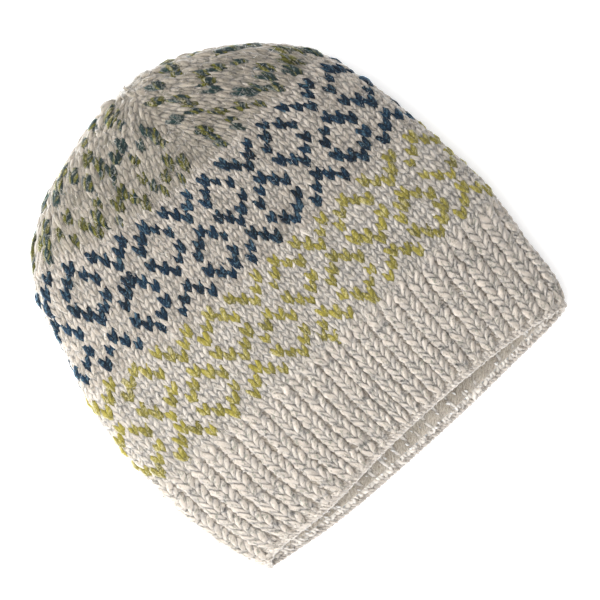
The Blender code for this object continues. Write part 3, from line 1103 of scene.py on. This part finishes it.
loops["bump"] = helper_object(yarn_mesh("edge_bump", np.array(BUMP_PATH), np.array(BUMP_RADIUS), sides=4))
for column in range(STITCHES_AROUND):
    put("bumps", column + column * ASIDE_STEP % 1, FIRST_BUMP + BUMP_ROWS * (column * ROW_STEP % 1))
# the near-white colour of these bumps is a painted glint
glint_wool = wool_material("pale wool", (196, 188, 176), (250, 246, 238), 1.6)
knit("edge_bumps", "bumps", "bump", 0.3, 120, glint_wool, *BAND)
closing = strand("closing", 51.2, 0.1, -0.05, 0.12, 0.0, 0.16, per_column=1)
wrapped_strands("closing_yarn", [closing], *CROWN)

# %% [markdown]
# ## Loose hairs
#
# Wool is never smooth. Its loose hairs soften every edge, and light ones cross the dark stitches. Each
# hair grows from a place on the yarn itself and bends over as it leaves. A tree scatters them on the
# knitted pieces, with a fixed seed, between two heights: mostly on the side that faces out, and inside
# the mouth on the side that faces in.

# %% Draw one hair, a unit long, bent and drawn out to a point
share = np.array([0.0, 0.5, 1.0])
hair_path = np.stack([share, 0.10 * np.sin(3.0 * share), 0.28 * np.sin(2.6 * share) - 0.02], axis=-1)
hair = helper_object(yarn_mesh("hair", hair_path, 0.020 * np.array([0.9, 1.0, 0.3]), sides=3))
print(f"one hair: {len(hair.data.polygons)} faces")

# %% Grow the tree of hairs
HAIR_LEVEL = 0.3          # the height that a hair has, which sets how much painted gap light its yarn gives it

hair_tree, given, result = new_tree("Loose hairs", (
    ("Hair", "Object"), ("Density", "Float"), ("Length", "Float"), ("Lowest", "Float"), ("Highest", "Float"),
    ("Seed", "Int"), ("Yarn", "Material"),
))
t = hair_tree
seeds = [plus(t, given["Seed"], step) for step in range(4)]
height = named(t, "level")
over = first(t, "FunctionNodeCompare", {"A": height, "B": given["Lowest"]}, operation="GREATER_THAN")
under = first(t, "FunctionNodeCompare", {"A": height, "B": given["Highest"]}, operation="LESS_THAN")
between = first(t, "FunctionNodeBooleanMath", {0: over, 1: under}, operation="AND")
roots = add(t, "GeometryNodeDistributePointsOnFaces", {
    "Mesh": given["Geometry"], "Selection": between, "Density": given["Density"], "Seed": given["Seed"],
})
lay = first(t, "FunctionNodeAlignRotationToVector", {"Vector": roots.outputs["Normal"]}, axis="Z")
spin = combine(t, 0.0, scatter(t, -0.5, 0.3, seeds[1]), scatter(t, 0.0, 2 * math.pi, seeds[2]))
spun = {"Rotation": lay, "Rotate By": rotation(t, spin)}
hairs = first(t, "GeometryNodeInstanceOnPoints", {
    "Points": roots.outputs[0], "Instance": geometry_of(t, given["Hair"]),
    "Rotation": first(t, "FunctionNodeRotateRotation", spun, rotation_space="LOCAL"),
    "Scale": times(t, scatter(t, 0.4, 1.3, seeds[3]), given["Length"]),
})
toned = store(t, hairs, "tone", scatter(t, 0.0, 1.0, seeds[1]), "INSTANCE")
levelled = store(t, realized(t, toned), "level", HAIR_LEVEL)
end_tree(t, above_floor(t, levelled, position(t)), given["Yarn"], result)

# %% Let the hairs grow
HAIRS = 57000.0           # hairs on a square metre of yarn
INSIDE = -0.5             # what lies lower than this faces into the hat

grey_hair = wool_material("grey hair", (150, 144, 136), (224, 217, 208), 1.0, bump=0.0)
blue_hair = wool_material("blue hair", (6, 18, 34), (30, 62, 88), 1.0, bump=0.0, sheen=0.15)


def grow_hairs(name, on, density, length, seed, yarn, slot, *nodes, lowest=0.08, highest=2.0):
    """Scatters hairs over a knitted piece, between two heights in its wall."""
    values = {"Hair": hair, "Density": density, "Length": length, "Lowest": lowest, "Highest": highest,
              "Seed": seed, "Yarn": yarn}
    return dress(grown(name, on.data, hair_tree, values), slot, *nodes)


grow_hairs("rib_hairs", ribs, HAIRS, 0.0042, 200, grey_hair, *BAND)
grow_hairs("groove_hairs", grooves, HAIRS / 3, 0.0036, 205, grey_hair, *BAND, lowest=-1.0)
grow_hairs("inside_hairs", matted, HAIRS, 0.0034, 290, inner_wool, *BAND, lowest=-1.0, highest=INSIDE)
grow_hairs("lower_hairs", lower, HAIRS, 0.0042, 210, grey_hair, *BODY)
grow_hairs("upper_hairs", upper, HAIRS, 0.0042, 220, grey_hair, *BODY)
grow_hairs("crown_hairs", crown, HAIRS, 0.0042, 230, grey_hair, *CROWN)
grow_hairs("lime_hairs", lime, HAIRS, 0.0034, 240, lime_wool, *LIME)
grow_hairs("blue_hairs", blue, HAIRS / 2, 0.0034, 250, blue_hair, *BLUE)
grow_hairs("grey_over_blue", blue, HAIRS / 2, 0.0038, 270, grey_hair, *BODY)
grow_hairs("marl_hairs", marl, HAIRS / 2, 0.0034, 260, marl_wool, *MARL)
grow_hairs("grey_over_marl", marl, HAIRS, 0.0038, 280, grey_hair, *CROWN)

# %% [markdown]
# ## Floor, light and camera
#
# The hat was photographed from straight above on white. Most of the light is soft and comes from the
# left. A smaller light beside the hat brightens the brim, and a weak one from the lower right opens the
# shadows. The camera is turned about its own axis, so that the hat lies aslant in the picture.

# %% Lay the floor
floor_mesh = plain_mesh("floor", [(-3, -3, 0), (3, -3, 0), (3, 3, 0), (-3, 3, 0)], [(0, 1, 2, 3)])
floor = new_object("floor", floor_mesh)
paper, _, paper_shader = new_material("white paper")
set_inputs(paper_shader, {
    "Base Color": (0.97, 0.97, 0.97, 1), "Roughness": 0.9,
    "Emission Color": (0.97, 0.985, 1.0, 1), "Emission Strength": 0.24,
})
floor_mesh.materials.append(paper)
print("floor laid")

# %% Set up the camera
PICTURE_SIZE = 600        # pixels
PIXEL = 0.000503          # metres of the hat in one pixel
FOCUS = Vector((0.0045, -0.0206, 0.015))
LENS = 100.0
SENSOR = 36.0
picture_right = Vector((0.744, -0.668, 0.0)).normalized()
picture_up = Vector((0.668, 0.744, 0.0)).normalized()
towards = picture_right.cross(picture_up)

camera_data = bpy.data.cameras.new("camera")
camera_data.lens = LENS
camera_data.sensor_width = SENSOR
camera = new_object("camera", camera_data)
distance = PICTURE_SIZE * PIXEL * LENS / SENSOR
facing = Matrix((picture_right, picture_up, towards)).transposed().to_4x4()
camera.matrix_world = Matrix.Translation(FOCUS + towards * distance) @ facing
bpy.context.scene.camera = camera
print(f"camera {distance * 1000:.0f} mm above the hat")


# %% Set up the light
def soft_light(name, aside, above, height, size, power, colour):
    """A square area light, placed by the picture's own right and up, that faces the hat."""
    data = bpy.data.lights.new(name, "AREA")
    data.size = size
    data.energy = power
    data.color = colour
    light = new_object(name, data)
    light.location = FOCUS + picture_right * aside + picture_up * above + Vector((0, 0, height))
    light.rotation_euler = (light.location - FOCUS).to_track_quat("Z", "Y").to_euler()


soft_light("window", -0.47, -0.13, 0.50, 1.35, 13.5, (1.0, 0.983, 0.965))
soft_light("near_side", -0.15, -0.22, 0.35, 0.3, 1.15, (1.0, 0.99, 0.98))
soft_light("low_fill", 0.30, -0.33, 0.22, 0.6, 0.25, (1.0, 0.98, 0.95))
world = bpy.data.worlds.new("studio")
world.use_nodes = True
set_inputs(world.node_tree.nodes["Background"], {"Color": (0.97, 0.97, 0.98, 1), "Strength": 0.68})
bpy.context.scene.world = world
bpy.context.scene.view_settings.view_transform = "Standard"
print("a soft window, two small lights and a white studio")

# %% [markdown]
# ## Remove the helpers
#
# The helpers go, because they only lent their meshes.

# %% Finish
for helper in helpers:
    bpy.data.objects.remove(helper, do_unlink=True)
